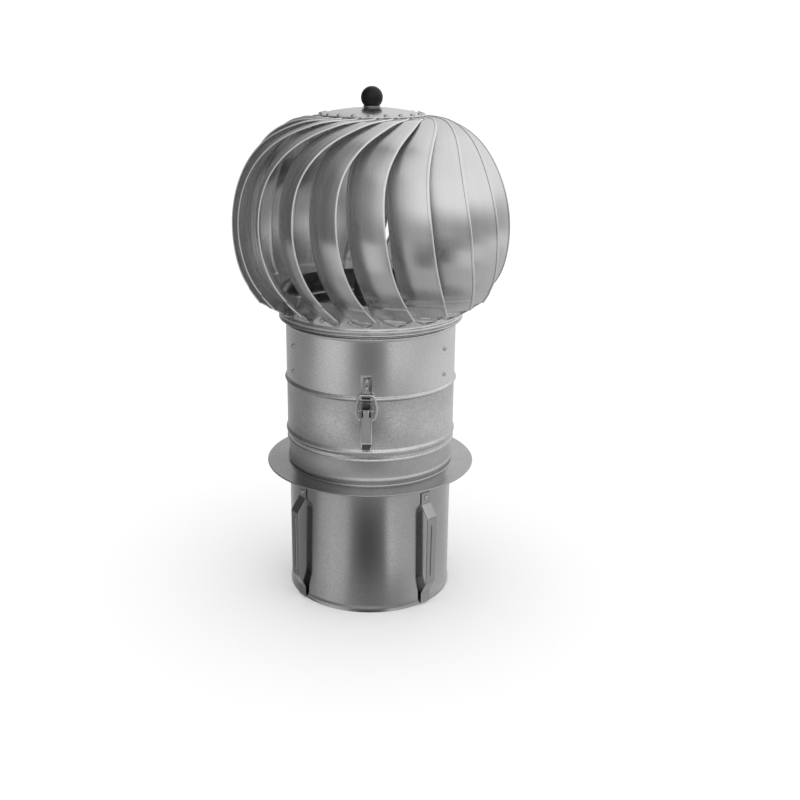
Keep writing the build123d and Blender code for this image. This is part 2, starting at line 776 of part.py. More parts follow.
# Bail: bent wire, in one plane through its pivot and the strike's hook
with BuildPart() as bail_form:
    lean = (bail_hook_radius - bail_pivot_radius) / (bail_hook_height - bail_pivot_height)
    low, high = bail_pivot_height, bail_hook_height
    bends = [
        (bail_foot - bail_foot_reach, low), (bail_foot, low), (bail_spread - 0.6, low + bail_rise * 0.18),
        (bail_spread, low + bail_rise * 0.45), (bail_spread - 0.8, low + bail_rise * 0.71),
        (bail_top_half, high),
    ]
    bends += [(-x, z) for x, z in reversed(bends)]
    path = [Vector(x, -(bail_pivot_radius + lean * (z - low)), z) for x, z in bends]
    with BuildLine():
        Polyline(*path)
    with BuildSketch(Plane(origin=path[0], z_dir=path[1] - path[0])):
        Circle(wire_radius)
    sweep(transition=Transition.RIGHT)

for count, angle in enumerate(latch_angles, 1):
    turn = Rotation(0, 0, angle)
    save(turn * strike_form.part, f"latch_strike_{count}")
    save(turn * base_form.part, f"latch_base_{count}")
    save(turn * lever_form.part, f"latch_lever_{count}")
    save(turn * bail_form.part, f"latch_bail_{count}")
with BuildPart() as latch_pins:
    for angle in latch_angles:
        add(Rotation(0, 0, angle) * pin_form.part)
save(latch_pins.part, "latch_pins")

# Leaf springs, with a rib pressed along the middle
with BuildPart() as spring_form:
    seat = spigot_radius + seat_gap
    out = spigot_radius + spring_proud
    bends = [
        (seat, spring_top), (seat, spring_step), (out, spring_shoulder), (out - 0.6, spring_knee),
        (seat + 1.6, spring_ankle), (seat + 1.6, spring_bottom),
    ]
    with BuildSketch(upright_plane(0)):
        with BuildLine():
            Polyline(*sheet_profile([(r + spring_sheet, z) for r, z in bends], spring_sheet),
                     close=True)
        make_face()
    extrude(amount=spring_width / 2, both=True)
    with BuildSketch(upright_plane(0)):
        with BuildLine():
            rib_low, rib_high = spring_knee + 6, spring_shoulder - 7
            back = out + spring_sheet / 2
            Polyline((back - 0.5, rib_low - 1.5), (back + 1.0, rib_low), (back + 1.0, rib_high),
                     (back, rib_high + 1.5), close=True)
        make_face()
    extrude(amount=spring_rib / 2, both=True)
    with Locations(outward_plane(seat, 0, spring_rivet_height)):
        Cylinder(rivet_hole, drill, mode=Mode.SUBTRACT)
for count, angle in enumerate(spring_angles, 1):
    save(Rotation(0, 0, angle) * spring_form.part, f"leaf_spring_{count}")
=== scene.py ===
import math

import bmesh
import bpy
import numpy as np
from mathutils import Matrix, Vector


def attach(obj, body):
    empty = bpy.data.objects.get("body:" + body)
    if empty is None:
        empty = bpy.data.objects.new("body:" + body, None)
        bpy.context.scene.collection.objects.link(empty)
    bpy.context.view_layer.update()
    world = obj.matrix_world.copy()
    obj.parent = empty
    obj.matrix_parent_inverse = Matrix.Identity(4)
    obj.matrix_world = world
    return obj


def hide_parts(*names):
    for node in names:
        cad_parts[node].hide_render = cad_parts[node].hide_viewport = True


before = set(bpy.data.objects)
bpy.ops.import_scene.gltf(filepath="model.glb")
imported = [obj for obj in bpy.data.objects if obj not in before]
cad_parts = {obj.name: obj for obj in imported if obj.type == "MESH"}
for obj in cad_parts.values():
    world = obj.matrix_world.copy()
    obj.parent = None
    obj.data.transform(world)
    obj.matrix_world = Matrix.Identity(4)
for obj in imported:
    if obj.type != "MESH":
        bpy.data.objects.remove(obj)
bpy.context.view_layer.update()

MM = 0.001

# Sizes, in millimetres, as in the solids
BLADES = 20
PITCH = 360 / BLADES
ROTOR_ANGLE = -9.7
ROTOR_R, EQUATOR = 121.0, 338.0
LOWER_HALF, CORNER_DROP, FOOT_R = 76.0, 62.0, 75.0
CORNER_TURN = math.degrees(math.asin(CORNER_DROP / LOWER_HALF))
BLADE_CHORD, BLADE_LEAN, BLADE_CAMBER = 35.2, 38.0, 3.0
SPIGOT_R, MIDDLE_R, UPPER_R = 74.5, 75.9, 76.1
TUBE_SHEET, BLADE_SHEET = 0.8, 0.6
# heights of the tubes' ends and of the middles of their beads
SPIGOT_TOP, MIDDLE_LOW, MIDDLE_TOP, UPPER_LOW, UPPER_TOP = 164.0, 145.3, 209.5, 204.52, 263.5
ROOT_BEAD, SEAT_BEAD, JOINT_BEAD, UPPER_BEAD = 127.4, 153.6, 202.0, 253.8
FLANGE_R, FLANGE_LOW, FLANGE_SHEET = 95.0, 121.0, 1.3
RING_R, RING_LOW, RING_TOP = 80.4, 257.4, 284.0
PLATE_R, PLATE_RIM, PLATE_RISE, PLATE_SHEET = 46.4, 432.0, 6.0, 1.0
RIVET_CIRCLE, RING_RIVET_Z = 43.0, 268.8
BRACKET_RIVETS, STRAP_RIVETS, BASE_RIVETS = (214.5, 237.4), (211.6, 218.3), (170.5, 178.5)
SPRING_RIVETS = (104.3,)
RING_TAB_HEIGHT, RING_TAB_BELOW = 11.5, 0.35
# heights below which the strike's hook and the lever's end get painted shade, and the height of the painted
# highlight band above the lever's fold
HOOK_TOP, LEVER_LOW, FOLD_HIGHLIGHT_BAND = 208.0, 164.4, 0.8
BAIL_LOW, BAIL_HIGH, BAIL_LOW_R, BAIL_HIGH_R, BAIL_WIRE = 184.9, 206.5, 80.2, 79.9, 1.0
TAB_SWEEP, TAB_LENGTH, TAB_WIDTH = 46.0, 8.6, 11.2
KNOB_R, KNOB_NECK, WASHER_R, WASHER_H = 9.3, 6.6, 7.3, 1.3
LATCH_ANGLES = (0, 120, 240)
SPRING_ANGLES = (44, 128.5, 224, 308.5)
BRACKET_ANGLES = (60, 180, 300)


def polar(radius, angle, height):
    """The point at this radius, angle from the front and height, in millimetres."""
    turn = math.radians(angle)
    return Vector((radius * math.sin(turn), -radius * math.cos(turn), height))


def outward(angle):
    """The level direction away from the axis at this angle."""
    return polar(1, angle, 0)


def smooth_step(x):
    """0 up to 0, 1 from 1 on, and a soft rise between."""
    x = min(max(x, 0.0), 1.0)
    return x * x * (3 - 2 * x)


def finish_mesh(mesh, sharp=35):
    """Smooth shading, with the edges sharper than this many degrees kept crisp."""
    bm = bmesh.new()
    bm.from_mesh(mesh)
    bmesh.ops.recalc_face_normals(bm, faces=bm.faces)
    for face in bm.faces:
        face.smooth = True
    for edge in bm.edges:
        if len(edge.link_faces) == 2 and edge.calc_face_angle() > math.radians(sharp):
            edge.smooth = False
    bm.to_mesh(mesh)
    bm.free()


def piece(name, mesh, materials, body, slot, *replaced):
    """Puts a finished mesh in the scene, on its body, in place of the solids it stands for.

    materials is one material, or several that the faces choose from by their index."""
    if not isinstance(materials, tuple):
        materials = (materials,)
    chosen = [min(face.material_index, len(materials) - 1) for face in mesh.polygons]
    mesh.materials.clear()
    for material in materials:
        mesh.materials.append(material)
    mesh.polygons.foreach_set("material_index", chosen)
    obj = bpy.data.objects.new(name, mesh)
    bpy.context.collection.objects.link(obj)
    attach(obj, body)
    if replaced:
        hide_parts(*replaced)
    return obj


def grid_mesh(name, rings, uvs, closed_around, closed_along=False, caps=False):
    """A mesh from rows of points in millimetres. uvs hold each row's texture points in metres."""
    rows, count = len(rings), len(rings[0])
    verts = [tuple(Vector(p) * MM) for ring in rings for p in ring]
    faces, corners = [], []
    around = count if closed_around else count - 1
    for i in range(rows if closed_along else rows - 1):
        n = (i + 1) % rows
        for j in range(around):
            m = (j + 1) % count
            faces.append((i * count + j, i * count + m, n * count + m, n * count + j))
            top = n if n else rows
            side = m if m else count
            corners.append(((i, j), (i, side), (top, side), (top, j)))
    if caps:
        faces.append(tuple(range(count))[::-1])
        faces.append(tuple((rows - 1) * count + j for j in range(count)))
    mesh = bpy.data.meshes.new(name)
    mesh.from_pydata(verts, [], faces)
    layer = mesh.uv_layers.new(name="UVMap")
    for poly in mesh.polygons:
        if poly.index < len(corners):
            for loop, (i, j) in zip(poly.loop_indices, corners[poly.index]):
                layer.data[loop].uv = uvs(i, j)
    return mesh


def lathe(name, profile, segments=288, closed=True):
    """A profile of (radius, height) points turned about the axis."""
    rings, run, length = [], [0.0], 0.0
    for (r0, z0), (r1, z1) in zip(profile, profile[1:] + profile[:1]):
        length += math.hypot(r1 - r0, z1 - z0)
        run.append(length)
    for k in range(segments):
        turn = 360 * k / segments
        rings.append([polar(r, turn, z) for r, z in profile])
    radius = max(r for r, z in profile)
    around = 2 * math.pi * radius * MM

    def uvs(i, j):
        return (around * i / segments, run[j] * MM)

    mesh = grid_mesh(name, rings, uvs, closed_around=closed, closed_along=True)
    bm = bmesh.new()
    bm.from_mesh(mesh)
    bmesh.ops.remove_doubles(bm, verts=bm.verts, dist=1e-7)
    bm.to_mesh(mesh)
    bm.free()
    finish_mesh(mesh)
    return mesh


def rolled_bead(radius, height, half, proud, steps=14):
    """Outline points of a smooth bead, from its lower side to its upper side."""
    points = []
    for k in range(steps + 1):
        t = 2 * k / steps - 1
        lift = 0.5 + 0.5 * math.cos(math.pi * t)
        points.append((radius + proud * lift ** 0.75, height + half * t))
    return points


def arc(centre_r, centre_z, radius, start, end, steps=8):
    """Outline points round an arc, in degrees from the outward direction."""
    return [(centre_r + radius * math.cos(math.radians(start + (end - start) * k / steps)),
             centre_z + radius * math.sin(math.radians(start + (end - start) * k / steps)))
            for k in range(steps + 1)]


def wall(outline, sheet=TUBE_SHEET):
    """The whole profile of a sheet metal wall, with its two rims slightly eased."""
    inner = [(r - sheet, z) for r, z in reversed(outline)]
    ease = 0.18
    first, last = outline[0], outline[-1]
    eased = [(first[0] - ease, first[1]), (first[0], first[1] + ease)] + outline[1:-1]
    eased += [(last[0], last[1] - ease), (last[0] - ease, last[1])]
    return eased + inner


def new_material(name):
    material = bpy.data.materials.new(name)
    material.use_nodes = True
    tree = material.node_tree
    return material, tree, tree.nodes["Principled BSDF"]


def add(tree, kind, **values):
    node = tree.nodes.new(kind)
    for key, value in values.items():
        if key in node.inputs:
            node.inputs[key].default_value = value
        else:
            setattr(node, key, value)
    return node


def spread(tree, source, low, high, from_low=0.3, from_high=0.7):
    """Maps a texture's value to a range."""
    node = add(tree, "ShaderNodeMapRange")
    tree.links.new(source, node.inputs["Value"])
    for key, value in (("From Min", from_low), ("From Max", from_high), ("To Min", low), ("To Max", high)):
        node.inputs[key].default_value = value
    return node.outputs["Result"]


def colour_sockets(sockets):
    return [socket for socket in sockets if socket.type == "RGBA"]


def tinted(tree, factor, dark, light):
    """A colour between two, by a texture's value."""
    node = add(tree, "ShaderNodeMix", data_type="RGBA")
    tree.links.new(factor, node.inputs["Factor"])
    for socket, colour in zip(colour_sockets(node.inputs), (dark, light)):
        socket.default_value = (*colour, 1)
    return colour_sockets(node.outputs)[0]


def weighted(tree, *parts):
    """The sum of several textures' values, each given with its weight."""
    total = None
    for source, weight in reversed(parts):
        node = add(tree, "ShaderNodeMath", operation="MULTIPLY_ADD" if total else "MULTIPLY")
        tree.links.new(source, node.inputs[0])
        node.inputs[1].default_value = weight
        if total:
            tree.links.new(total, node.inputs[2])
        total = node.outputs["Value"]
    return total


def embossed(tree, shader, *layers):
    """Bumps over one another, each with its height's source, strength and distance."""
    normal = None
    for height, strength, distance in layers:
        bump = add(tree, "ShaderNodeBump", Strength=strength, Distance=distance)
        tree.links.new(height, bump.inputs["Height"])
        if normal:
            tree.links.new(normal, bump.inputs["Normal"])
        normal = bump.outputs["Normal"]
    tree.links.new(normal, shader.inputs["Normal"])


def brushed_metal(name, dark, light, rough=(0.2, 0.32), anisotropy=0.75, grain=(2600, 26), depth=0.06):
    """Sheet metal with a grain that runs along the texture's second direction."""
    material, tree, shader = new_material(name)
    coords = add(tree, "ShaderNodeTexCoord")

    def streaks(across, along, detail, roughness):
        mapping = add(tree, "ShaderNodeMapping", Scale=(across, along, 1))
        tree.links.new(coords.outputs["UV"], mapping.inputs["Vector"])
        noise = add(tree, "ShaderNodeTexNoise", Scale=1.0, Detail=detail, Roughness=roughness)
        tree.links.new(mapping.outputs["Vector"], noise.inputs["Vector"])
        return noise.outputs["Fac"]

    fine = streaks(*grain, 5.0, 0.6)
    wide = streaks(grain[0] / 14, grain[1] / 5, 3.0, 0.5)
    value = weighted(tree, (fine, 0.55), (wide, 0.45))
    tree.links.new(tinted(tree, spread(tree, value, 0, 1), dark, light), shader.inputs["Base Color"])
    tree.links.new(spread(tree, value, *rough), shader.inputs["Roughness"])
    shader.inputs["Metallic"].default_value = 1.0
    shader.inputs["Anisotropic"].default_value = anisotropy
    tangent = add(tree, "ShaderNodeTangent", direction_type="UV_MAP")
    tree.links.new(tangent.outputs["Tangent"], shader.inputs["Tangent"])
    embossed(tree, shader, (fine, depth, 0.0002))
    return material


def galvanised_metal(name, dark, light, rough=(0.3, 0.44), cells=900.0, depth=0.06, wave=0.2):
    """Zinc coated sheet: fine spangle, a matt grain and faint waves in the sheet."""
    material, tree, shader = new_material(name)
    coords = add(tree, "ShaderNodeTexCoord")
    spangle = add(tree, "ShaderNodeTexVoronoi", Scale=cells, Randomness=1.0)
    grain = add(tree, "ShaderNodeTexNoise", Scale=1500.0, Detail=3.0, Roughness=0.7)
    cloud = add(tree, "ShaderNodeTexNoise", Scale=38.0, Detail=4.0, Roughness=0.55)
    for node in (spangle, grain, cloud):
        tree.links.new(coords.outputs["Object"], node.inputs["Vector"])
    split = add(tree, "ShaderNodeSeparateColor")
    tree.links.new(spangle.outputs["Color"], split.inputs["Color"])
    value = weighted(tree, (split.outputs["Red"], 0.2), (grain.outputs["Fac"], 0.62),
                     (cloud.outputs["Fac"], 0.3))
    colour = tinted(tree, spread(tree, value, 0, 1, 0.35, 0.8), dark, light)
    tree.links.new(colour, shader.inputs["Base Color"])
    tree.links.new(spread(tree, value, rough[1], rough[0], 0.3, 0.85), shader.inputs["Roughness"])
    shader.inputs["Metallic"].default_value = 1.0
    embossed(tree, shader, (value, depth, 0.0003), (cloud.outputs["Fac"], wave, 0.0006))
    return material


def moulded_plastic(name, colour, roughness):
    """Plastic with a fine grain in its colour, its gloss and its surface."""
    material, tree, shader = new_material(name)
    coords = add(tree, "ShaderNodeTexCoord")
    noise = add(tree, "ShaderNodeTexNoise", Scale=900.0, Detail=4.0, Roughness=0.6)
    tree.links.new(coords.outputs["Object"], noise.inputs["Vector"])
    value = noise.outputs["Fac"]
    lighter = tuple(c * 1.6 for c in colour)
    tree.links.new(tinted(tree, value, colour, lighter), shader.inputs["Base Color"])
    tree.links.new(spread(tree, value, roughness - 0.06, roughness + 0.08), shader.inputs["Roughness"])
    shader.inputs["Specular IOR Level"].default_value = 0.3
    embossed(tree, shader, (value, 0.15, 0.0002))
    return material


def grey(level):
    return level, level, level


BLADE_METAL = brushed_metal("blade_metal", grey(0.66), grey(0.78), rough=(0.2, 0.3), anisotropy=0.95,
                            depth=0.02)
PLATE_METAL = brushed_metal("plate_metal", grey(0.60), grey(0.74), rough=(0.18, 0.3), anisotropy=0.4)
RING_METAL = galvanised_metal("ring_metal", grey(0.62), grey(0.74), rough=(0.16, 0.26), depth=0.05,
                              wave=0.12)
UPPER_METAL = galvanised_metal("upper_tube_metal", grey(0.65), grey(0.75), rough=(0.22, 0.32), depth=0.03,
                               wave=0.06)
MIDDLE_METAL = galvanised_metal("middle_tube_metal", grey(0.48), grey(0.82), rough=(0.24, 0.38), cells=1000.0,
                                depth=0.32, wave=0.12)
SPIGOT_METAL = galvanised_metal("spigot_metal", grey(0.40), grey(0.50), rough=(0.14, 0.22), depth=0.05,
                                wave=0.08)
NECK_METAL = galvanised_metal("neck_metal", grey(0.50), grey(0.62), rough=(0.4, 0.5))
FLANGE_METAL = galvanised_metal("flange_metal", grey(0.38), grey(0.50), rough=(0.2, 0.3), depth=0.05,
                                wave=0.08)
RIVET_METAL = galvanised_metal("rivet_metal", grey(0.52), grey(0.7), rough=(0.18, 0.3), depth=0.1,
                               wave=0.1)
INNER_METAL = galvanised_metal("inner_metal", grey(0.24), grey(0.36), rough=(0.3, 0.45))
BEARING_METAL = brushed_metal("bearing_metal", (0.55, 0.55, 0.56), (0.7, 0.7, 0.71), rough=(0.12, 0.2),
                              anisotropy=0.0)
SPRING_METAL = brushed_metal("spring_metal", grey(0.34), grey(0.46), rough=(0.16, 0.26), anisotropy=0.3,
                             grain=(1800, 60))
# painted shade along the step of each blade's hem
PAINTED_CREASE_SHADE_METAL = brushed_metal("painted_crease_shade_metal", grey(0.26), grey(0.34), rough=(0.3, 0.42), depth=0.02)
# the latch and the small details, whose grain is shorter
SHORT_GRAIN = (1400, 300)
LATCH_METAL = brushed_metal("latch_metal", (0.40, 0.40, 0.39), (0.50, 0.50, 0.49), rough=(0.18, 0.26),
                            anisotropy=0.2, grain=SHORT_GRAIN, depth=0.04)
LEVER_METAL = brushed_metal("lever_metal", grey(0.64), grey(0.76), rough=(0.3, 0.4), anisotropy=0.2,
                            grain=SHORT_GRAIN, depth=0.04)
# painted highlight: a bright metal for the eased edges and bends of the latch parts, the blades' rolled rims
# and the ring bead's crown
PAINTED_HIGHLIGHT_METAL = brushed_metal("painted_highlight_metal", grey(0.86), grey(0.96), rough=(0.5, 0.62), anisotropy=0.0,
                           grain=SHORT_GRAIN, depth=0.02)
# painted shade: a near-black metal for the ring roll's underside, the rivets' pits, the lever's end, the
# strike's hook and the latch base plates
PAINTED_SHADE_METAL = brushed_metal("painted_shade_metal", grey(0.05), grey(0.09), rough=(0.3, 0.42), anisotropy=0.0,
                           grain=SHORT_GRAIN, depth=0.04)
KNOB_PLASTIC = moulded_plastic("knob_plastic", grey(0.004), 0.4)


def base_shells():
    """The spigot, middle and upper tubes and the flange."""
    flare = [(SPIGOT_R + 0.8, 0), (SPIGOT_R + 0.8, 2.6), (SPIGOT_R + 0.7, 3.6), (SPIGOT_R + 0.35, 5.0),
             (SPIGOT_R, 6.5)]
    neck = MIDDLE_R - TUBE_SHEET - 0.1
    spigot = flare + rolled_bead(SPIGOT_R, ROOT_BEAD, 2.6, 1.1)
    spigot += [(SPIGOT_R, MIDDLE_LOW - 1.0), (neck, MIDDLE_LOW + 1.0)]
    spigot += rolled_bead(neck, SEAT_BEAD, 3.2, 1.1) + [(neck, SPIGOT_TOP)]
    shell = lathe("spigot_shell", wall(spigot))
    for face in shell.polygons:
        face.material_index = int(face.center.z > (FLANGE_LOW + FLANGE_SHEET) * MM)
    piece("spigot_shell", shell, (SPIGOT_METAL, NECK_METAL), "base", "tube_steel", "spigot_tube")
    middle = [(MIDDLE_R + proud, MIDDLE_LOW + rise)
              for proud, rise in ((0.3, 0), (0.55, 0.4), (0.55, 1.2), (0.3, 1.9), (0, 2.3))]
    middle += rolled_bead(MIDDLE_R, SEAT_BEAD, 3.4, 1.3) + rolled_bead(MIDDLE_R, JOINT_BEAD, 2.4, 1.8)
    inside = UPPER_R - TUBE_SHEET - 0.1
    middle += [(MIDDLE_R - 0.4, UPPER_LOW - 0.06), (inside, UPPER_LOW - 0.02), (inside, MIDDLE_TOP)]
    shell = lathe("middle_shell", wall(middle))
    piece("middle_shell", shell, MIDDLE_METAL, "base", "tube_steel", "middle_tube")
    upper = [(UPPER_R, UPPER_LOW)] + rolled_bead(UPPER_R, UPPER_BEAD, 1.9, 0.8) + [(UPPER_R, UPPER_TOP)]
    shell = lathe("upper_shell", wall(upper))
    piece("upper_shell", shell, UPPER_METAL, "base", "tube_steel", "upper_tube")
    hole = SPIGOT_R + 0.02
    top = FLANGE_LOW + FLANGE_SHEET
    rim = arc(FLANGE_R - FLANGE_SHEET / 2, FLANGE_LOW + FLANGE_SHEET / 2, FLANGE_SHEET / 2, -90, 90)
    seam = ((2.2, 0), (1.2, 0.4), (0.75, 1.2), (0.1, 1.3), (0, 1.2))
    flange = [(hole, FLANGE_LOW)] + rim + [(hole + off, top + rise) for off, rise in seam]
    piece("flange_plate", lathe("flange_plate", flange), FLANGE_METAL, "base", "flange_steel", "flange")


def ring_shell():
    """The rotor's lower ring, with its rolled edge and its bead."""
    roll = arc(RING_R + 0.75, RING_LOW + 1.05, 1.05, -120, 60, 10)
    bead = rolled_bead(RING_R + 0.3, RING_LOW + 4.0, 1.9, 1.2)
    shell = lathe("ring_shell", wall(roll + bead + [(RING_R, RING_LOW + 7.0), (RING_R, RING_TOP)]))
    # the underside of the roll gets painted shade, and the bead's crown a painted highlight
    for face in shell.polygons:
        radius = math.hypot(face.center.x, face.center.y) / MM
        height = face.center.z / MM - RING_LOW
        if height < 0.75:
            face.material_index = 2
        elif radius > RING_R + 1.0 and 4.0 < height < 5.4:
            face.material_index = 1
    piece("ring_shell", shell, (RING_METAL, PAINTED_HIGHLIGHT_METAL, PAINTED_SHADE_METAL), "rotor", "ring_steel", "rotor_ring")


PLATE_TOP = PLATE_RIM + PLATE_RISE
DOME = (PLATE_R**2 + PLATE_RISE**2) / (2 * PLATE_RISE)


def plate_height(radius):
    """The height of the top plate's upper face at this radius."""
    return PLATE_TOP - DOME + math.sqrt(DOME**2 - radius**2)


def crown():
    """The top plate with its washer and the ball knob."""
    bore, steps = 4.0, 40
    radii = [bore + (PLATE_R - 0.4 - bore) * k / steps for k in range(steps + 1)]
    upper = [(r, plate_height(r)) for r in radii]
    lower = [(r, plate_height(r) - PLATE_SHEET) for r in reversed(radii)]
    rim = arc(PLATE_R - 0.45, PLATE_RIM - PLATE_SHEET / 2, 0.45, 70, -70, 6)
    plate = lathe("plate", upper + rim + lower)
    piece("plate_shell", plate, PLATE_METAL, "rotor", "plate_steel", "top_plate")
    low, high = PLATE_TOP + 0.02, PLATE_TOP + WASHER_H - 0.02
    washer = [(bore + 0.02, low), (WASHER_R - 0.2, low), (WASHER_R, low + 0.2), (WASHER_R, high - 0.3),
              (WASHER_R - 0.3, high), (bore + 0.02, high)]
    piece("washer", lathe("washer", washer, 96), LATCH_METAL, "rotor", "latch_steel", "knob_washer")
    seat = PLATE_TOP + WASHER_H
    centre = seat + KNOB_NECK
    flat = math.degrees(math.asin(KNOB_NECK / KNOB_R))
    foot = math.sqrt(KNOB_R**2 - KNOB_NECK**2)
    ball = [(3.0, seat + 0.6), (3.4, seat + 0.1), (foot - 0.5, seat + 0.02), (foot - 0.05, seat + 0.08)]
    ball += arc(0, centre, KNOB_R, -flat + 3, 89, 40)
    ball += [(0.0, centre + KNOB_R), (0.0, seat + 0.6)]
    piece("knob_ball", lathe("knob_ball", ball, 128), KNOB_PLASTIC, "rotor", "knob_plastic", "knob")


def outer_edge(turn):
    """Radius, sweep and height of the blade's outer edge at this turn of its two quarter ellipses."""
    up = math.radians(turn)
    if turn >= 0:
        radius = PLATE_R + (ROTOR_R - PLATE_R) * math.cos(up)
        rise = PLATE_RIM - PLATE_SHEET - 0.02 - EQUATOR
        sweep = 53.0 * (turn / 90)**3 - 2.5 * math.sin(2 * up)
        return radius, sweep, EQUATOR + rise * math.sin(up)
    radius = FOOT_R + (ROTOR_R - FOOT_R) * math.cos(up)
    share = -turn / CORNER_TURN
    return radius, 14.5 * (0.38 * share + 0.62 * share**2), EQUATOR + LOWER_HALF * math.sin(up)


def chord_to(outer, width, lean):
    """The inner edge's point behind an outer edge point, level with it."""
    radius, sweep, height = outer
    back = width * math.cos(math.radians(lean))
    reach = radius - width * math.sin(math.radians(lean))
    return math.hypot(reach, back), sweep - math.degrees(math.atan2(back, reach)), height


def blade_stations():
    """Outer point, inner point and camber of each section, from the toe's tip to the top tab."""
    skin = RING_R + 0.08 + BLADE_SHEET
    corner = EQUATOR - CORNER_DROP
    rows = [((skin + 3.0, 10.6, corner - 9.6), (skin, 7.4, corner - 9.8), 0.4),
            ((skin + 12.0, 13.6, corner - 5.4), (skin, 1.6, corner - 5.6), 0.8),
            (outer_edge(-CORNER_TURN), (skin, -5.0, corner), 1.2)]
    for turn, width, lean, bow in ((-36, 1.0, 1.05, 0.8), (-14, 1.0, 1.0, 1.0), (12, 1.0, 1.0, 1.0),
                                   (34, 1.0, 1.0, 1.0), (54, 0.93, 1.05, 0.8), (68, 0.67, 1.1, 0.4),
                                   (79, 0.37, 0.9, 0.1)):
        outer = outer_edge(turn)
        rows.append((outer, chord_to(outer, width * BLADE_CHORD, lean * BLADE_LEAN), bow * BLADE_CAMBER))
    for radius in (PLATE_R - 0.4, PLATE_R - TAB_LENGTH):
        height = plate_height(radius) - PLATE_SHEET - 0.12
        half = math.degrees(math.asin(TAB_WIDTH / 2 / radius))
        rows.append(((radius, TAB_SWEEP + half, height), (radius, TAB_SWEEP - half, height), 0.0))
    return rows


def run_along(points):
    """How far along its line each point lies."""
    run = [0.0]
    for a, b in zip(points, points[1:]):
        run.append(run[-1] + (b - a).length)
    return run


def natural_spline(knots, values, points):
    """Cubic spline through the values, with natural ends."""
    knots, values = np.array(knots, float), np.array(values, float)
    n = len(knots)
    gap = np.diff(knots)
    system = np.zeros((n, n))
    right = np.zeros((n, values.shape[1]))
    system[0, 0] = system[-1, -1] = 1
    for i in range(1, n - 1):
        system[i, i - 1:i + 2] = gap[i - 1], 2 * (gap[i - 1] + gap[i]), gap[i]
        right[i] = 6 * ((values[i + 1] - values[i]) / gap[i] - (values[i] - values[i - 1]) / gap[i - 1])
    curve = np.linalg.solve(system, right)
    out = []
    for p in points:
        i = min(max(int(np.searchsorted(knots, p)) - 1, 0), n - 2)
        a, b = (knots[i + 1] - p) / gap[i], (p - knots[i]) / gap[i]
        out.append(a * values[i] + b * values[i + 1]
                   + ((a**3 - a) * curve[i] + (b**3 - b) * curve[i + 1]) * gap[i]**2 / 6)
    return np.array(out)


def blade_lines():
    """Stations along the blade, with its two edges and its camber there, and the place of the fold."""
    ends = np.array([[*polar(*outer), *polar(*inner), bow] for outer, inner, bow in blade_stations()])
    knots = run_along([Vector((end[0:3] + end[3:6]) / 2) for end in ends])
    # straight through the toe below the lower corner, and one smooth line above it
    corner = 2
    toe = [*np.linspace(0, knots[1], 7)[:-1], *np.linspace(knots[1], knots[corner], 11)[:-1]]
    above = [*np.linspace(knots[corner], knots[-1], 110)]
    table = [[np.interp(p, knots, column) for column in ends.T] for p in toe]
    table += list(natural_spline(knots[corner:], ends[corner:], above))
    outers = [Vector(row[0:3]) for row in table]
    inners = [Vector(row[3:6]) for row in table]
    bows = [max(row[6], 0.0) for row in table]
    return toe + above, outers, inners, bows, len(toe)


def blade_normals(outers, inners):
    """The outward direction of the strip at each station."""
    mids = [(o + i) / 2 for o, i in zip(outers, inners)]
    normals = []
    for k, (outer, inner) in enumerate(zip(outers, inners)):
        chord = (inner - outer).normalized()
        along = mids[min(k + 1, len(mids) - 1)] - mids[max(k - 1, 0)]
        along = (along - chord * along.dot(chord)).normalized()
        normal = chord.cross(along)
        normals.append(-normal if normal.dot(outward(0) + Vector((0, 0, 1))) < 0 else normal)
    return normals


def blade_mesh():
    """One blade at the front: a cambered, twisted strip with a hem folded along both long edges."""
    stations, outers, inners, bows, fold = blade_lines()
    normals = blade_normals(outers, inners)
    hem, half, roll, rim = 2.3, BLADE_SHEET / 2, 0.62, 0.7
    # places across the blade: the rolled rim, the hem, its step, then the plain sheet
    lead = [(0.0, 0.0), (0.06, 0.55), (0.3, 0.9), (rim, 1.0), (hem - 0.25, 1.0), (hem, 0.45)]
    plain, reach = 16, 9
    rings, across = [], []
    for k, (outer, inner, bow, normal) in enumerate(zip(outers, inners, bows, normals)):
        chord = inner - outer
        width = chord.length
        chord.normalize()
        # the camber turns gently past the fold, so that no ridge stands on it
        sway = sum(normals[max(k - reach, 0):k + reach + 1], Vector()).normalized()
        places = [(s, roll * t) for s, t in lead]
        places += [(hem + (width - 2 * hem) * (j + 0.5) / plain, half) for j in range(plain)]
        places += [(width - s, roll * t) for s, t in reversed(lead)]
        top, bottom = [], []
        for s, lift in places:
            v = s / width
            base = outer + chord * s + sway * bow * 4 * v * (1 - v) - normal * half
            top.append(base + normal * lift)
            bottom.append(base - normal * lift)
        rings.append(top + bottom[::-1][1:-1])
        spots = [s for s, _ in places]
        across.append(spots + [2 * width - s for s in spots[::-1][1:-1]] + [2 * width])

    def uvs(i, j):
        return (across[i][j] * MM, stations[i] * MM)

    mesh = grid_mesh("blade", rings, uvs, closed_around=True, caps=True)
    # the rolled rim gets a painted highlight, and the hem's step a painted shade
    count = len(rings[0])
    for face in mesh.polygons:
        i, j = divmod(face.index, count)
        if i < len(rings) - 1:
            width = across[i][count] / 2
            spot = (across[i][j] + across[i][j + 1]) / 2
            spot = min(spot, 2 * width - spot)
            spot = min(spot, width - spot)
            face.material_index = 1 if spot < rim else 2 if hem - 0.3 < spot < hem + 0.05 else 0
    finish_mesh(mesh, sharp=50)
    # the fold at the top of the toe stays crisp
    for edge in mesh.edges:
        if {v // count for v in edge.vertices} == {fold}:
            edge.use_edge_sharp = True
    return mesh


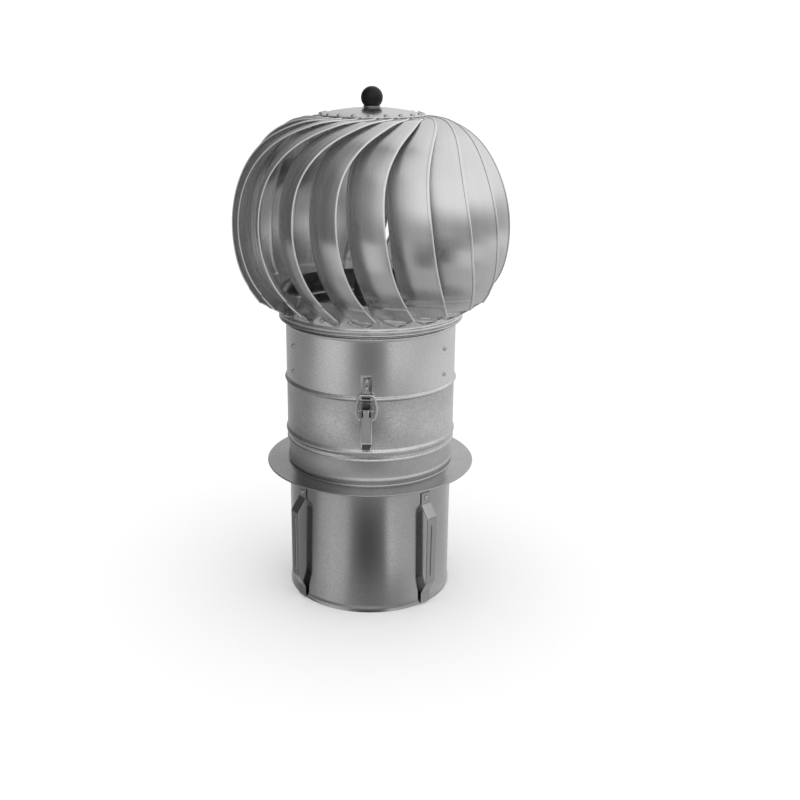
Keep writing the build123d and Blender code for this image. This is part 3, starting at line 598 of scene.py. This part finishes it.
def ring_tab_mesh():
    """The blade's lower tab, which lies round the ring."""
    skin = RING_R + 0.02 + BLADE_SHEET
    low = RING_RIVET_Z - RING_TAB_HEIGHT * RING_TAB_BELOW
    # the angle and rise of the slanted edge, from the bottom up
    slant = ((8.2, 0), (8.2, 0.8), (7.2, 1.9), (5.6, 3.2), (4.0, 4.5), (2.3, 5.9), (0.4, 7.4), (-1.8, 9.4),
             (-4.0, RING_TAB_HEIGHT))
    upright = -6.0
    count = len(slant)
    cells = count - 1
    rings = []
    for k, (angle, rise) in enumerate(slant):
        start = RING_TAB_HEIGHT * k / cells
        line = [(upright + (angle - upright) * j / cells, low + start + (rise - start) * j / cells)
                for j in range(count)]
        front = [polar(skin, a, z) for a, z in line]
        back = [polar(skin - BLADE_SHEET, a, z) for a, z in line]
        rings.append(front + back[::-1])

    def uvs(i, j):
        return ((j if j < count else 2 * count - 1 - j) * 2.2 * MM, i * 1.4 * MM)

    mesh = grid_mesh("ring_tab", rings, uvs, closed_around=True, caps=True)
    finish_mesh(mesh, sharp=50)
    return mesh


def turned(mesh, angle):
    """A copy of a mesh that was made at the front, turned to this angle."""
    copy = mesh.copy()
    copy.transform(Matrix.Rotation(math.radians(angle), 4, "Z"))
    return copy


def blades():
    """The blades, each with its lower tab."""
    strip, tab = blade_mesh(), ring_tab_mesh()
    bm = bmesh.new()
    bm.from_mesh(strip)
    bm.from_mesh(tab)
    bm.to_mesh(strip)
    bm.free()
    metals = (BLADE_METAL, PAINTED_HIGHLIGHT_METAL, PAINTED_CREASE_SHADE_METAL)
    for k in range(BLADES):
        blade = turned(strip, ROTOR_ANGLE + k * PITCH)
        piece(f"vane_{k + 1:02d}", blade, metals, "rotor", "blade_steel", f"blade_{k + 1:02d}")


def rivet_head(name, radius, height):
    """A blind rivet's head: a low dome with the mandrel's sunk end, seated on z = 0."""
    hole = radius * 0.42
    crest = ((1, 0), (1, 0.25), (0.93, 0.55), (0.8, 0.8), (0.6, 0.95))
    pit = ((1.25, 1), (1, 0.9), (0.95, 0.45), (0, 0.4), (0, 0))
    dome = [(radius * out, height * up) for out, up in crest] + [(hole * out, height * up) for out, up in pit]
    head = lathe(name, dome, 28)
    # the mandrel's pit takes slot 1, which is painted shade
    for face in head.polygons:
        face.material_index = int(math.hypot(face.center.x, face.center.y) < hole * 1.1 * MM)
    return head


def place_by_nodes(name, head, spots):
    """Copies a head to each spot, facing out, with Geometry Nodes, and returns the joined mesh."""
    seed = bpy.data.meshes.new(name + "_spots")
    seed.from_pydata([tuple(Vector(p) * MM) for p, n in spots], [], [])
    facing = seed.attributes.new("facing", "FLOAT_VECTOR", "POINT")
    for item, (p, n) in zip(facing.data, spots):
        item.vector = n
    carrier = bpy.data.objects.new(name + "_carrier", seed)
    model = bpy.data.objects.new(name + "_model", head)
    for obj in (carrier, model):
        bpy.context.collection.objects.link(obj)
    tree = bpy.data.node_groups.new(name + "_nodes", "GeometryNodeTree")
    tree.interface.new_socket("Geometry", in_out="INPUT", socket_type="NodeSocketGeometry")
    tree.interface.new_socket("Geometry", in_out="OUTPUT", socket_type="NodeSocketGeometry")
    enter, leave = tree.nodes.new("NodeGroupInput"), tree.nodes.new("NodeGroupOutput")
    copies = tree.nodes.new("GeometryNodeInstanceOnPoints")
    source = tree.nodes.new("GeometryNodeObjectInfo")
    source.inputs["Object"].default_value = model
    direction = tree.nodes.new("GeometryNodeInputNamedAttribute")
    direction.data_type = "FLOAT_VECTOR"
    direction.inputs["Name"].default_value = "facing"
    align = tree.nodes.new("FunctionNodeAlignRotationToVector")
    align.axis = "Z"
    joined = tree.nodes.new("GeometryNodeRealizeInstances")
    links = tree.links
    links.new(enter.outputs[0], copies.inputs["Points"])
    links.new(source.outputs["Geometry"], copies.inputs["Instance"])
    links.new(direction.outputs[0], align.inputs["Vector"])
    links.new(align.outputs[0], copies.inputs["Rotation"])
    links.new(copies.outputs["Instances"], joined.inputs[0])
    links.new(joined.outputs[0], leave.inputs[0])
    modifier = carrier.modifiers.new("place", "NODES")
    modifier.node_group = tree
    bpy.context.view_layer.update()
    mesh = bpy.data.meshes.new_from_object(carrier.evaluated_get(bpy.context.evaluated_depsgraph_get()))
    mesh.name = name
    for obj in (carrier, model):
        bpy.data.objects.remove(obj)
    return mesh


def rivets():
    """All the rivets' heads."""
    head, small = rivet_head("rivet_head", 2.2, 1.05), rivet_head("small_rivet_head", 1.7, 0.8)
    tilt = math.asin(RIVET_CIRCLE / DOME)
    top = []
    for k in range(BLADES):
        angle = ROTOR_ANGLE + TAB_SWEEP + k * PITCH
        up = Vector((0, 0, math.cos(tilt))) + outward(angle) * math.sin(tilt)
        top.append((polar(RIVET_CIRCLE, angle, plate_height(RIVET_CIRCLE) + 0.02), up))

    def spots_at(radius, angles, heights):
        return [(polar(radius, a, z), outward(a)) for a in angles for z in heights]

    bracket = spots_at(UPPER_R + 0.02, BRACKET_ANGLES, BRACKET_RIVETS)
    latch = spots_at(UPPER_R + 0.84, LATCH_ANGLES, STRAP_RIVETS)
    latch += spots_at(MIDDLE_R + 1.04, LATCH_ANGLES, BASE_RIVETS)
    spring = spots_at(SPIGOT_R + 0.84, SPRING_ANGLES, SPRING_RIVETS)
    skin = RING_R + 0.04 + BLADE_SHEET
    ring = spots_at(skin, [ROTOR_ANGLE + k * PITCH for k in range(BLADES)], (RING_RIVET_Z,))
    for kind, spots, body, model in (("top", top, "rotor", head), ("ring", ring, "rotor", head),
                                     ("bracket", bracket, "base", head), ("latch", latch, "base", small),
                                     ("spring", spring, "base", head)):
        name = f"{kind}_rivet_heads"
        mesh = place_by_nodes(name, model.copy(), spots)
        piece(name, mesh, (RIVET_METAL, PAINTED_SHADE_METAL), body, "rivet_steel", f"{kind}_rivets")


def round_bends(bm, angle, radius):
    """Rounds the long bends between the face that looks out at this angle and its two sides, and gives the
    rounded faces slot 1, a painted highlight.
    """
    out = outward(angle)
    side = out.cross(Vector((0, 0, 1)))
    near = 0.9

    def is_bend(edge):
        normals = [face.normal for face in edge.link_faces]
        faces_out = any(n.dot(out) > near for n in normals)
        faces_aside = any(abs(n.dot(side)) > near for n in normals)
        return len(normals) == 2 and faces_out and faces_aside

    bends = [edge for edge in bm.edges if is_bend(edge)]
    bmesh.ops.bevel(bm, geom=bends, offset=radius * MM, segments=3, profile=0.5, affect="EDGES", material=1,
                    clamp_overlap=False)


def cut_levels(mesh, heights):
    """Splits the faces of a mesh along level planes at these heights in millimetres."""
    bm = bmesh.new()
    bm.from_mesh(mesh)
    bmesh.ops.triangulate(bm, faces=bm.faces)
    for height in heights:
        everything = bm.verts[:] + bm.edges[:] + bm.faces[:]
        bmesh.ops.bisect_plane(bm, geom=everything, plane_co=(0, 0, height * MM), plane_no=(0, 0, 1))
    bm.to_mesh(mesh)
    bm.free()


def softened(node, name, material, body, slot, width=0.18, painted_shade_below=0, bend=None):
    """A solid's own mesh with its edges eased and given a painted highlight, in place of the plain one.

    Faces below the given shade height, in millimetres, get painted shade. bend is the angle and the radius of
    its long bends;
    it rounds them with a painted highlight on the rounded faces, and paints a highlight band just above the
    shaded part."""
    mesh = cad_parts[node].data.copy()
    mesh.materials.clear()
    mesh.materials.append(material)
    mesh.materials.append(PAINTED_HIGHLIGHT_METAL)
    bm = bmesh.new()
    bm.from_mesh(mesh)
    bmesh.ops.remove_doubles(bm, verts=bm.verts, dist=2e-6)
    bmesh.ops.dissolve_limit(bm, angle_limit=math.radians(2), verts=bm.verts, edges=bm.edges)
    if bend:
        round_bends(bm, *bend)
    bm.to_mesh(mesh)
    bm.free()
    helper = bpy.data.objects.new(name + "_helper", mesh)
    bpy.context.collection.objects.link(helper)
    bevel = helper.modifiers.new("ease", "BEVEL")
    bevel.width = width * MM
    bevel.segments = 2
    bevel.limit_method = "ANGLE"
    bevel.angle_limit = math.radians(40)
    # the eased edges' new faces take slot 1, a painted highlight
    bevel.material = 1
    bpy.context.view_layer.update()
    eased = bpy.data.meshes.new_from_object(helper.evaluated_get(bpy.context.evaluated_depsgraph_get()))
    bpy.data.objects.remove(helper)
    eased.name = name
    if bend:
        cut_levels(eased, (painted_shade_below, painted_shade_below + FOLD_HIGHLIGHT_BAND))
    finish_mesh(eased, sharp=30)
    if not eased.uv_layers:
        eased.uv_layers.new(name="UVMap")
    layer = eased.uv_layers.active
    for loop in eased.loops:
        co = eased.vertices[loop.vertex_index].co
        layer.data[loop.index].uv = (co.x + co.y, co.z)
    # painted shade below the given height, and with a bend a painted highlight band just above it
    for face in eased.polygons:
        if face.material_index == 0 and face.center.z < painted_shade_below * MM:
            face.material_index = 2
        elif bend and face.center.z < (painted_shade_below + FOLD_HIGHLIGHT_BAND) * MM:
            face.material_index = 1
    return piece(name, eased, (material, PAINTED_HIGHLIGHT_METAL, PAINTED_SHADE_METAL), body, slot, node)


def tube_along(name, points, radius, sides=14):
    """A round wire along a smooth line through the points."""
    steps = 120
    knots = run_along([Vector(p) for p in points])
    fine = [knots[-1] * k / steps for k in range(steps + 1)]
    line = [Vector(p) for p in natural_spline(knots, points, fine)]
    rings = []
    for k, p in enumerate(line):
        ahead = (line[min(k + 1, steps)] - line[max(k - 1, 0)]).normalized()
        side = ahead.cross(Vector((0, 1, 0))).normalized()
        rise = side.cross(ahead)
        rings.append([p + (side * math.cos(t) + rise * math.sin(t)) * radius
                      for t in (2 * math.pi * j / sides for j in range(sides))])

    def uvs(i, j):
        return (j * 0.4 * MM, fine[i] * MM)

    mesh = grid_mesh(name, rings, uvs, closed_around=True, caps=True)
    finish_mesh(mesh, sharp=50)
    return mesh


def latches():
    """Each latch's wire, lever, strike and base, and the pins."""
    rise = BAIL_HIGH - BAIL_LOW
    # half width and height above the pivots, from the foot to the middle of the top bar
    side = ((3.4, 0), (5.0, 0.05), (6.2, 0.5), (7.4, 2.2), (8.4, 5.4), (8.8, 9.8), (8.5, 13.5), (7.7, 17.2),
            (6.7, 20.0), (5.4, rise - 0.25), (4.0, rise), (2.0, rise))
    lean = (BAIL_HIGH_R - BAIL_LOW_R) / rise
    path = [*side, *((-x, up) for x, up in reversed(side))]
    wire = tube_along("bail", [(x, -(BAIL_LOW_R + lean * up), BAIL_LOW + up) for x, up in path], BAIL_WIRE)
    for k, angle in enumerate(LATCH_ANGLES, 1):
        bail = turned(wire, angle)
        piece(f"bail_wire_{k}", bail, LEVER_METAL, f"bail_{k}", "latch_steel", f"latch_bail_{k}")
        # the lever's end and the strike's hook get painted shade, the lever's fold a painted highlight band,
        # and the base plate is coloured wholly with the painted shade metal
        softened(f"latch_lever_{k}", f"lever_{k}_plate", LEVER_METAL, f"lever_{k}", "latch_steel", 0.22,
                 LEVER_LOW, bend=(angle, 0.7))
        softened(f"latch_strike_{k}", f"strike_{k}_strap", LATCH_METAL, "base", "latch_steel", 0.24, HOOK_TOP)
        softened(f"latch_base_{k}", f"base_{k}_plate", PAINTED_SHADE_METAL, "base", "latch_steel", 0.2)
    softened("latch_pins", "pin_set", LATCH_METAL, "base", "latch_steel", 0.15)


def spring_line():
    """The spring's inner face from its top to its foot, as radius and height, with its bends rounded."""
    seat, out, foot = SPIGOT_R + 0.02, SPIGOT_R + 8.4, SPIGOT_R + 1.62
    corners = [(seat, 109.0), (seat, 98.5), (out, 87.0), (out - 0.6, 24.0), (foot, 12.0), (foot, 1.5)]
    cut, steps = 2.0, 6
    line = [corners[0]]
    for before, at, after in zip(corners, corners[1:], corners[2:]):
        a, b, c = (Vector((*p, 0)) for p in (before, at, after))
        start, end = b + (a - b).normalized() * cut, b + (c - b).normalized() * cut
        for k in range(steps + 1):
            t = k / steps
            p = start * (1 - t)**2 + b * (2 * t * (1 - t)) + end * t**2
            line.append((p.x, p.y))
    line.append(corners[-1])
    # steps of about a millimetre, so that the rib has room
    fine = [line[0]]
    for (r0, z0), (r1, z1) in zip(line, line[1:]):
        parts = max(1, int(math.hypot(r1 - r0, z1 - z0)))
        fine += [(r0 + (r1 - r0) * k / parts, z0 + (z1 - z0) * k / parts) for k in range(1, parts + 1)]
    return fine


def spring_mesh():
    """A leaf spring at the front: a bent strip with a rib pressed along its middle."""
    fine = spring_line()
    half, sheet, ease = 5.5, 0.8, 0.12
    rib_low, rib_high, rib_end, rib_half, rib_rise = 29, 82, 3, 1.5, 1.0
    xs = [-half, -half + ease, -half + 0.4] + [-4.4 + 0.4 * k for k in range(23)]
    xs += [half - 0.4, half - ease, half]
    rings = []
    for k, (r, z) in enumerate(fine):
        p, q = fine[max(k - 1, 0)], fine[min(k + 1, len(fine) - 1)]
        along = Vector((q[0] - p[0], q[1] - p[1], 0)).normalized()
        normal = Vector((-along.y, along.x, 0))
        if normal.x < 0:
            normal = -normal
        window = smooth_step((z - rib_low) / rib_end) * smooth_step((rib_high - z) / rib_end)
        front, back = [], []
        for x in xs:
            rib = rib_rise * window * smooth_step((rib_half - abs(x)) / 0.8)
            edge = ease if abs(x) == half else 0.0
            for side, lift in ((front, sheet - edge + rib), (back, edge + rib)):
                point = Vector((r, z, 0)) + normal * lift
                side.append(Vector((x, -point.x, point.y)))
        rings.append(front + back[::-1])
    run = run_along([Vector(p) for p in fine])
    count = len(xs)

    def uvs(i, j):
        j = j if j < count else 2 * count - 1 - j
        return (xs[j] * MM, run[i] * MM)

    mesh = grid_mesh("spring", rings, uvs, closed_around=True, caps=True)
    finish_mesh(mesh, sharp=40)
    return mesh


def springs():
    strip = spring_mesh()
    for k, angle in enumerate(SPRING_ANGLES, 1):
        spring = turned(strip, angle)
        piece(f"spring_strip_{k}", spring, SPRING_METAL, "base", "spring_steel", f"leaf_spring_{k}")


def inner_parts():
    """The bracket, housing, shaft and bearings keep their solids and get better finishes."""
    bearings = [f"{place}_bearing_{ring}" for place in ("upper", "lower") for ring in ("inner", "outer")]
    for material, nodes in ((INNER_METAL, ["bearing_bracket", "bearing_housing"]),
                            (LATCH_METAL, ["rotor_shaft", "shaft_nut"]),
                            (BEARING_METAL, ["shaft_circlip"] + bearings)):
        for node in nodes:
            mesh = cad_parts[node].data
            mesh.materials.clear()
            mesh.materials.append(material)


# What the metal mirrors: brightness at each azimuth from the front, in degrees, from overhead to underfoot
TOP_LIGHT = ((-180, 0.8), (-130, 0.24), (-70, 0.34), (-20, 0.9), (150, 0.98), (180, 0.8))
HIGH_LIGHT = ((-180, 0.8), (-158, 0.4), (-130, 0.08), (-100, 0.08), (-80, 0.12), (-60, 0.22), (-45, 0.34),
              (-30, 0.66), (-14, 0.95), (0, 1.0), (150, 0.98), (180, 0.8))
LEVEL_LIGHT = ((-180, 0.7), (-158, 0.4), (-130, 0.08), (-100, 0.1), (-80, 0.14), (-60, 0.2), (-45, 0.3),
               (-25, 0.46), (0, 0.46), (20, 0.4), (45, 0.36), (90, 0.5), (130, 0.65), (180, 0.7))
MIDDLE_LIGHT = ((-180, 0.7), (-150, 0.45), (-116, 0.3), (-98, 0.34), (-76, 0.5), (-56, 0.72), (-40, 0.7),
                (-24, 0.36), (0, 0.26), (14, 0.28), (30, 0.34), (46, 0.42), (70, 0.66), (92, 0.8), (122, 0.8),
                (180, 0.7))
LOW_LIGHT = ((-180, 0.7), (-140, 0.35), (-117, 0.28), (-97, 0.24), (-86, 0.26), (-74, 0.56), (-52, 0.74),
             (-33, 0.7), (-21, 0.24), (-10, 0.12), (2, 0.1), (14, 0.16), (23, 0.24), (31, 0.9), (42, 0.76),
             (57, 0.7), (74, 0.6), (92, 0.62), (108, 0.6), (126, 0.62), (180, 0.7))
UNDER_LIGHT = ((-180, 0.6), (-130, 0.3), (-90, 0.38), (-50, 0.46), (-10, 0.42), (20, 0.44), (60, 0.52),
               (110, 0.58), (180, 0.6))
DEEP_LIGHT = ((-180, 0.3), (-60, 0.2), (60, 0.24), (180, 0.3))
# each table with the elevations between which it takes over from the one below it
LIGHT_BANDS = ((UNDER_LIGHT, -72, -58), (LOW_LIGHT, -41, -33), (MIDDLE_LIGHT, -25, -19),
               (LEVEL_LIGHT, -17, -9), (HIGH_LIGHT, -5, 18), (TOP_LIGHT, 38, 56))


def paper_floor():
    """A plain pale floor, which the metal doesn't mirror."""
    bpy.ops.mesh.primitive_plane_add(size=60)
    floor = bpy.context.object
    floor.name = "floor"
    floor.visible_glossy = False
    material, _, shader = new_material("floor_paper")
    shader.inputs["Base Color"].default_value = (*grey(0.97), 1)
    shader.inputs["Roughness"].default_value = 0.9
    shader.inputs["Specular IOR Level"].default_value = 0.0
    floor.data.materials.append(material)


def math_node(tree, operation, *values):
    node = add(tree, "ShaderNodeMath", operation=operation)
    for socket, value in zip(node.inputs, values):
        if isinstance(value, (int, float)):
            socket.default_value = value
        else:
            tree.links.new(value, socket)
    return node.outputs["Value"]


def round_light(tree, share, table):
    """The brightness at this share of the way round, from the table."""
    node = add(tree, "ShaderNodeValToRGB")
    tree.links.new(share, node.inputs["Fac"])
    stops = node.color_ramp.elements
    while len(stops) < len(table):
        stops.new(0.5)
    for stop, (azimuth, light) in zip(stops, table):
        stop.position = (azimuth + 180) / 360
        stop.color = (*grey(light), 1)
    return node.outputs["Color"]


def over_band(tree, height, low, high, below, above):
    """The colour below the low elevation and the one above the high, with a soft change between."""
    step = add(tree, "ShaderNodeMapRange", interpolation_type="SMOOTHSTEP")
    tree.links.new(height, step.inputs["Value"])
    step.inputs["From Min"].default_value = low
    step.inputs["From Max"].default_value = high
    node = add(tree, "ShaderNodeMix", data_type="RGBA")
    tree.links.new(step.outputs["Result"], node.inputs["Factor"])
    for source, socket in zip((below, above), colour_sockets(node.inputs)):
        tree.links.new(source, socket)
    return colour_sockets(node.outputs)[0]


def mirrored_studio():
    """Light and dark panels all round for what mirrors them, and an even white for everything else."""
    world = bpy.data.worlds.new("studio")
    bpy.context.scene.world = world
    world.use_nodes = True
    tree = world.node_tree
    coords = add(tree, "ShaderNodeTexCoord")
    split = add(tree, "ShaderNodeSeparateXYZ")
    tree.links.new(coords.outputs["Generated"], split.inputs["Vector"])
    front = math_node(tree, "MULTIPLY", split.outputs["Y"], -1.0)
    turn = math_node(tree, "ARCTAN2", split.outputs["X"], front)
    share = math_node(tree, "ADD", math_node(tree, "MULTIPLY", turn, 0.5 / math.pi), 0.5)
    height = math_node(tree, "MULTIPLY", math_node(tree, "ARCSINE", split.outputs["Z"]), 180 / math.pi)
    light = round_light(tree, share, DEEP_LIGHT)
    for table, low, high in LIGHT_BANDS:
        light = over_band(tree, height, low, high, light, round_light(tree, share, table))
    mirrored = tree.nodes["Background"]
    tree.links.new(light, mirrored.inputs["Color"])
    plain = add(tree, "ShaderNodeBackground", Color=(1, 1, 1, 1), Strength=1.1)
    path = add(tree, "ShaderNodeLightPath")
    mix = add(tree, "ShaderNodeMixShader")
    tree.links.new(path.outputs["Is Glossy Ray"], mix.inputs["Fac"])
    tree.links.new(plain.outputs["Background"], mix.inputs[1])
    tree.links.new(mirrored.outputs["Background"], mix.inputs[2])
    tree.links.new(mix.outputs["Shader"], tree.nodes["World Output"].inputs["Surface"])


def soft_lamp():
    """A weak wide lamp from above, for a soft shadow on the floor."""
    lamp = bpy.data.lights.new("soft_light", "AREA")
    lamp.energy = 3
    lamp.size = 1.6
    soft = bpy.data.objects.new("soft_light", lamp)
    soft.location = (1.0, -0.9, 2.2)
    aim = Vector((0, 0, 0.25))
    soft.rotation_euler = (aim - soft.location).to_track_quat("-Z", "Y").to_euler()
    soft.visible_glossy = False
    bpy.context.collection.objects.link(soft)


def studio():
    settings = bpy.context.scene.view_settings
    settings.view_transform = "Standard"
    settings.look = "None"
    paper_floor()
    mirrored_studio()
    soft_lamp()


def camera():
    """The photograph's camera, fitted to the rims. Its picture, focal length and centre are in points."""
    picture, focal, centre_x, centre_y = 800, 1054.45, 370.55, 378.02
    away, height, turn, down, roll = 0.9209, 0.4808, 2.5, 17.08, 0.28
    data = bpy.data.cameras.new("camera")
    data.sensor_width = 36
    data.lens = focal / picture * data.sensor_width
    data.shift_x = 0.5 - centre_x / picture
    data.shift_y = centre_y / picture - 0.5
    data.clip_start, data.clip_end = 0.05, 100
    obj = bpy.data.objects.new("camera", data)
    place = Matrix.Translation(polar(away, turn, height))
    tilt = Matrix.Rotation(math.radians(turn), 4, "Z") @ Matrix.Rotation(math.radians(90 - down), 4, "X")
    obj.matrix_world = place @ tilt @ Matrix.Rotation(math.radians(roll), 4, "Z")
    bpy.context.collection.objects.link(obj)
    bpy.context.scene.camera = obj


base_shells()
ring_shell()
crown()
blades()
rivets()
latches()
springs()
inner_parts()
studio()
camera()
